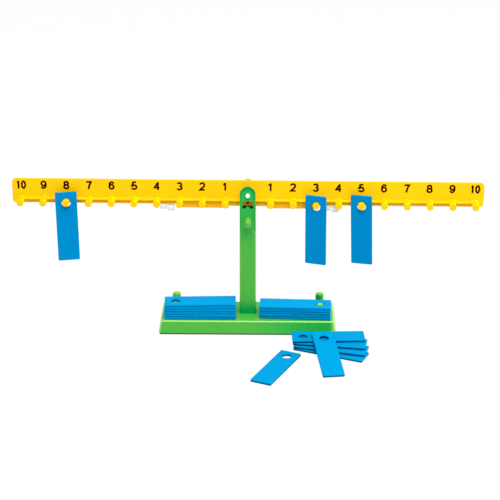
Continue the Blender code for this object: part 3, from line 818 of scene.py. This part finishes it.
def postPeg():
    face, tip = post["headDepth"] / 2 - post["recess"], post["headDepth"] / 2 + post["pegReach"]
    radius, r, f = post["peg"] / 2, post["pegRound"], post["pegFillet"]
    profile = [(radius + f, face - post["pegRoot"])] + arc((radius + f, face + f), f, 270, 180)
    profile += arc((radius - r, tip - r), r, 0, 90) + [(0, tip)]
    return lathe(profile, faceFront, (0, 0, post["pegZ"]))


# Base: a hollow moulding with four storage pegs
base = {
    "height": 20.0, "width": 241.1, "depth": 68.0, "footWidth": 248.6, "footDepth": 74.4,
    "corner": 3.0, "round": 1.9, "plinth": 1.8, "setBack": 1.4, "lip": 0.3, "wall": 2.2, "deck": 2.5,
    "stiffeners": 3, "stiffener": 1.8, "stiffenerLift": 1.5,  # three on each side of the post
    "socketWall": 2.6, "socketFloor": 2.5, "gap": 0.3,
    "pegX": 100.9, "pegY": 15.4, "peg": 11.6, "pegRound": 3.0, "pegFillet": 0.5,
    "frontPeg": 18.9, "rearPeg": 21.8,
}


def baseRing(z, inset=0.0):
    share = z / base["height"]
    halfX = (base["footWidth"] + share * (base["width"] - base["footWidth"])) / 2 - inset
    halfY = (base["footDepth"] + share * (base["depth"] - base["footDepth"])) / 2 - inset
    return roundedRing(halfX, halfY, z, base["corner"])


def storagePeg(x, y, height):
    deck, top = base["height"], base["height"] + height
    radius, r, f = base["peg"] / 2, base["pegRound"], base["pegFillet"]
    profile = [(radius + f, deck - cutter["past"])] + arc((radius + f, deck + f), f, 270, 180)
    profile += arc((radius - r, top - r), r, 0, 90, 8) + [(0, top)]
    return lathe(profile, layFlat, (x, y, 0))


# The outer skin: a set-back plinth, a small lip, drafted sides and a rounded edge
def baseRings():
    height, r, plinth, back, lip = base["height"], base["round"], base["plinth"], base["setBack"], base["lip"]
    rings = [baseRing(0, back), baseRing(plinth, back), baseRing(plinth, lip), baseRing(plinth + lip)]
    steps = 8
    for i in range(steps + 1):
        turn = math.pi / 2 * i / steps
        rings.append(baseRing(height - r * (1 - math.sin(turn)), r * (1 - math.cos(turn))))
    return rings


# Ribs across the hollow, and one keel along it
def baseRibs(top):
    half, low, past = base["stiffener"] / 2, base["stiffenerLift"], cutter["past"]
    endX, endY = base["width"] / 2 - past, base["depth"] / 2 - past
    ribs = []
    for n in range(-base["stiffeners"], base["stiffeners"] + 1):
        if n:
            x = n * base["pegX"] / base["stiffeners"]
            ribs.append(block((x - half, -endY, low), (x + half, endY, top)))
    return gather(ribs), block((-endX, -half, low), (endX, half, top))


def makeBase():
    wall, past = base["socketWall"], cutter["past"]
    under = base["height"] - base["deck"]
    cavity = loft([baseRing(-2 * past, base["wall"]), baseRing(under, base["wall"])])
    ribs, keel = baseRibs(under + past)
    x, y = post["footWidth"] / 2 + base["gap"], post["footDepth"] / 2 + base["gap"]
    levels = (base["socketFloor"], base["height"] + 2 * past)
    steps = [
        ("DIFFERENCE", cavity),
        ("UNION", ribs),
        ("UNION", keel),
        ("UNION", block((-x - wall, -y - wall, 0), (x + wall, y + wall, under + past))),
        ("DIFFERENCE", loft([roundedRing(x, y, z, post["corner"]) for z in levels])),
    ]
    piece = carved("baseShell", loft(baseRings()), steps)
    rows = ((-base["pegY"], base["frontPeg"]), (base["pegY"], base["rearPeg"]))
    pegs = [storagePeg(x, y, high) for x in (-base["pegX"], base["pegX"]) for y, high in rows]
    joinShapes(piece, pegs, baseGreen)
    return finishPiece(piece, basePegGreen, "stand", "base_green", "base")


makeBase()
print("base moulded")
postPiece = makePost()
joinShapes(postPiece, [postPeg()], postGreen)
finishPiece(postPiece, postPegGreen, "stand", "post_green", "post")
print("post moulded")


# Clips on the web's foot: a gripping half, a slit, and a half a step lower
clip = {
    "length": 19.8, "depth": 10.4, "slit": 1.6, "nearFoot": 6.5, "farTop": 1.7, "farFoot": 9.0,
    "jawHeight": 0.3, "jawThick": 0.9, "jawRound": 0.2, "groove": 0.3,
    "footRound": 1.8, "topRound": 0.8, "rim": 0.25, "bridgeTop": 2.6, "bridgeFoot": 5.2, "gap": 0.25,
    "offShares": {"left": 0.278, "right": 0.449},  # gap to the skirt, in clip lengths
}


def clipHalf(sign, top, foot, jaw):
    deep, groove, r = clip["depth"] / 2, beam["web"] / 2 + clip["groove"], clip["jawRound"]
    outer = groove + clip["jawThick"]
    side = [(deep, -foot, clip["footRound"]), (deep, -top, clip["topRound"])]
    if jaw:
        side += [(outer, -top, 0), (outer, jaw, r), (groove, jaw, r), (groove, -top, 0)]
    outline = roundedOutline(side + [(-y, z, r) for y, z, r in reversed(side)], 5)
    near, far = clip["slit"] / 2, clip["length"] / 2
    low, high = (near, far) if sign > 0 else (-far, -near)
    return plate(outline, [], low, high, faceSide, clip["rim"])


def makeClip(side):
    x = beam["skirtOut"] + clip["length"] * (0.5 + clip["offShares"][side])
    x = x if side == "right" else -x
    half, deep = clip["slit"] / 2 + clip["jawThick"], clip["depth"] / 2 - clip["jawThick"]
    steps = [("UNION", clipHalf(1, clip["farTop"], clip["farFoot"], 0)),
             ("UNION", block((-half, -deep, -clip["bridgeFoot"]), (half, deep, -clip["bridgeTop"])))]
    near = clipHalf(-1, clip["gap"], clip["nearFoot"], clip["jawHeight"])
    piece = carved("clip" + side.title(), near, steps)
    piece.matrix_world = beamPlace @ Matrix.Translation((x * mm, 0, beam["foot"] * mm))
    return finishPiece(piece, clipFrosted, "clip_" + side, "clip_clear", "clip_" + side)


for side in ("left", "right"):
    makeClip(side)
print("clips set")


# Weight tiles: all from one mould
tile = {
    "length": 99.4, "width": 29.5, "thick": 3.5, "corner": 1.6, "rim": 0.65,
    "hole": 13.0, "holeInset": 15.1, "holeSides": 64, "gap": 0.25,
}


def tileMesh():
    near, far, side = -tile["holeInset"], tile["length"] - tile["holeInset"], tile["width"] / 2
    corners = [(x, y, tile["corner"]) for x, y in ((far, side), (near, side), (near, -side), (far, -side))]
    half = tile["thick"] / 2
    hole = ringPoints(tile["hole"] / 2, tile["holeSides"])
    return toMesh("weightTile", plate(roundedOutline(corners), [hole], -half, half, layFlat, tile["rim"]))


tileShape = tileMesh()


def addTile(node, place, material):
    piece = addObject("tile_" + node, tileShape.copy(), place)
    return finishPiece(piece, material, node, "tile_blue", node)


def flatPlace(x, y, level, heading):
    at = Matrix.Translation((x * mm, y * mm, (level + tile["thick"] / 2) * mm))
    return at @ Matrix.Rotation(math.radians(heading), 4, "Z")


stacks = {  # degrees that each tile is turned, from the lowest up
    "left": (0.3, -0.3, 0.8, 0.6, 1.7, 2.4),
    "right": (-3.4, -3.0, -3.6, -3.1, -2.8),
}
for side, turns in stacks.items():
    for i, turn in enumerate(turns):
        x, heading = (-base["pegX"], 0) if side == "left" else (base["pegX"], 180)
        level = base["height"] + tile["gap"] + i * (tile["thick"] + tile["gap"])
        addTile(f"stack_{side}_{i + 1}", flatPlace(x, -base["pegY"], level, heading + turn), stackTileBlue)

pile = {
    "x": 80.0, "y": -72.5,
    "turns": (-22.9, -15.4, -8.6, 2.7),  # degrees, from the lowest tile up
    "offShares": ((0.084, -0.155), (0.04, -0.12), (-0.03, 0.01), (-0.12, 0.06)),  # of a tile's width
}
for i, (turn, (shareX, shareY)) in enumerate(zip(pile["turns"], pile["offShares"])):
    x, y = pile["x"] + shareX * tile["width"], pile["y"] + shareY * tile["width"]
    addTile(f"pile_tile_{i + 1}", flatPlace(x, y, i * (tile["thick"] + tile["gap"]), turn), tableTileBlue)

loose = {"x": 53.9, "y": -110.3, "turn": 245.5}
addTile("loose_tile", flatPlace(loose["x"], loose["y"], 0, loose["turn"]), tableTileBlue)

leaning = {"footX": 115.8, "footY": -166.5, "turn": 97.9}


# The slope at which the leaning tile rests on the front edge of the pile's top tile
def leanPitch():
    turn, (shareX, shareY) = math.radians(pile["turns"][-1]), pile["offShares"][-1]
    half = tile["width"] / 2
    edge = Vector((pile["x"] + shareX * tile["width"] + math.sin(turn) * half,
                   pile["y"] + shareY * tile["width"] - math.cos(turn) * half))
    heading = math.radians(leaning["turn"])
    across = Vector((-math.sin(turn), math.cos(turn)))
    skew = abs(across.angle_signed(Vector((math.cos(heading), math.sin(heading)))))
    away = (edge - Vector((leaning["footX"], leaning["footY"]))).dot(across)
    run = away / math.cos(skew) - math.tan(skew) * half
    rise = len(pile["turns"]) * (tile["thick"] + tile["gap"])
    return math.atan2(rise, run)


# Its far end stands on the table, and its hole end lies on the pile
def leaningPlace():
    pitch, heading = leanPitch(), math.radians(leaning["turn"])
    reach, half = tile["length"] - tile["holeInset"], tile["thick"] / 2
    run = reach * math.cos(pitch) - half * math.sin(pitch)
    at = Vector((leaning["footX"] + run * math.cos(heading), leaning["footY"] + run * math.sin(heading),
                 reach * math.sin(pitch) + half * math.cos(pitch)))
    turned = Matrix.Rotation(heading + math.pi, 4, "Z") @ Matrix.Rotation(pitch, 4, "Y")
    return Matrix.Translation(at * mm) @ turned


addTile("leaning_tile", leaningPlace(), tableTileBlue)

hung = {  # peg number, place along the peg, turn about the vertical, swing
    "hung_tile_left_8": (-8, 0.545, 9.9, 0.6),
    "hung_tile_right_3": (3, 0.815, -19.2, 0.4),
    "hung_tile_right_5": (5, 0.625, -17.0, 1.8),
}
for node, (number, share, turn, swing) in hung.items():
    along = beam["web"] / 2 + share * peg["reach"]
    drop = (tile["hole"] - peg["diameter"]) / 2 - tile["gap"]
    pegAxis = beamPlace @ Vector((number * peg["pitch"] * mm, -along * mm, peg["z"] * mm))
    at = pegAxis - Vector((0, 0, drop * mm))
    turned = Matrix.Rotation(math.radians(turn), 4, "Z") @ Matrix.Rotation(math.radians(90 - swing), 4, "Y")
    turned = turned @ Matrix.Rotation(math.pi / 2, 4, "X")
    addTile(node, Matrix.Translation(at) @ turned, hungTileBlue)
print("tiles laid")


# Studio: a pale sweep, a softbox high in front and a bright panel to the right;
# the room is dark behind the camera
studio = {
    "floor": "#CCCCCC", "floorSize": 12, "floorDrop": 0.0002, "floorShare": 0.93, "floorGlow": 1.03,
    "glossShare": 0.5, "frontLevel": 0.25, "backLevel": 0.66, "aim": (0, 0, 0.1),
    "softboxes": {
        "keySoftbox": {"at": (0.2, -1.35, 2.3), "size": 1.8, "power": 68},
        "sidePanel": {"at": (2.4, -0.1, 0.5), "size": 1.1, "power": 36},
    },
}


# How much of the plain white a ray meets: all when seen straight or through the clips, a part in a reflection
def whiteShare(tree):
    rays = addNode(tree, "ShaderNodeLightPath")
    seen = addNode(tree, "ShaderNodeMath", {"operation": "MAXIMUM"},
                   {0: rays.outputs["Is Camera Ray"], 1: rays.outputs["Is Transmission Ray"]})
    gloss = addNode(tree, "ShaderNodeMath", {"operation": "MULTIPLY", 1: studio["glossShare"]},
                    {0: rays.outputs["Is Glossy Ray"]})
    share = addNode(tree, "ShaderNodeMath", {"operation": "MAXIMUM"},
                    {0: seen.outputs[0], 1: gloss.outputs[0]})
    return share.outputs[0]


# Matt seamless paper, its fibre drawn coarser than the real one; it keeps a little of the object's shadow
def makeFloor():
    material, tree = newMaterial("paperSweepWhite")
    spot = addNode(tree, "ShaderNodeTexCoord").outputs["Object"]
    fibre = addNode(tree, "ShaderNodeTexNoise", {"Scale": 1 / (4 * mm), "Detail": 3.0}, {"Vector": spot})
    bump = addNode(tree, "ShaderNodeBump", {"Strength": 0.05, "Distance": 0.05 * mm},
                   {"Height": fibre.outputs["Fac"]})
    paper = addNode(tree, "ShaderNodeBsdfPrincipled",
                    {"Base Color": linearColour(studio["floor"]), "Roughness": 0.9},
                    {"Normal": bump.outputs["Normal"]})
    glow = addNode(tree, "ShaderNodeEmission", {"Color": (1, 1, 1, 1), "Strength": studio["floorGlow"]})
    share = addNode(tree, "ShaderNodeMath", {"operation": "MULTIPLY", 1: studio["floorShare"]},
                    {0: whiteShare(tree)})
    mix = addNode(tree, "ShaderNodeMixShader", {},
                  {0: share.outputs[0], 1: paper.outputs["BSDF"], 2: glow.outputs["Emission"]})
    addNode(tree, "ShaderNodeOutputMaterial", {}, {"Surface": mix.outputs["Shader"]})
    shape = bmesh.new()
    bmesh.ops.create_grid(shape, x_segments=1, y_segments=1, size=studio["floorSize"])
    mesh = bpy.data.meshes.new("floor")
    shape.to_mesh(mesh)
    shape.free()
    floor = addObject("floor", mesh, Matrix.Translation((0, 0, -studio["floorDrop"])))
    floor.data.materials.append(material)


def makeSurround():
    world = bpy.data.worlds.new("surround")
    bpy.context.scene.world = world
    world.use_nodes = True
    tree = world.node_tree
    tree.nodes.clear()
    where = addNode(tree, "ShaderNodeTexCoord")
    way = addNode(tree, "ShaderNodeSeparateXYZ", {}, {0: where.outputs["Generated"]})
    dark, bright = studio["frontLevel"], studio["backLevel"]
    room = addNode(tree, "ShaderNodeMapRange",
                   {"From Min": -0.9, "From Max": 0.1, "To Min": dark, "To Max": bright},
                   {"Value": way.outputs["Y"]})
    level = addNode(tree, "ShaderNodeMapRange", {"To Max": 1.0},
                    {"Value": whiteShare(tree), "To Min": room.outputs["Result"]})
    sky = addNode(tree, "ShaderNodeBackground", {"Color": (1, 1, 1, 1)},
                  {"Strength": level.outputs["Result"]})
    addNode(tree, "ShaderNodeOutputWorld", {}, {"Surface": sky.outputs["Background"]})


def makeSoftbox(name, box):
    data = bpy.data.lights.new(name, "AREA")
    data.shape = "SQUARE"
    data.size = box["size"]
    data.energy = box["power"]
    lamp = bpy.data.objects.new(name, data)
    lamp.location = box["at"]
    lamp.rotation_euler = (Vector(studio["aim"]) - lamp.location).to_track_quat("-Z", "Y").to_euler()
    bpy.context.scene.collection.objects.link(lamp)


makeFloor()
makeSurround()
for name, box in studio["softboxes"].items():
    makeSoftbox(name, box)
print("studio lit")
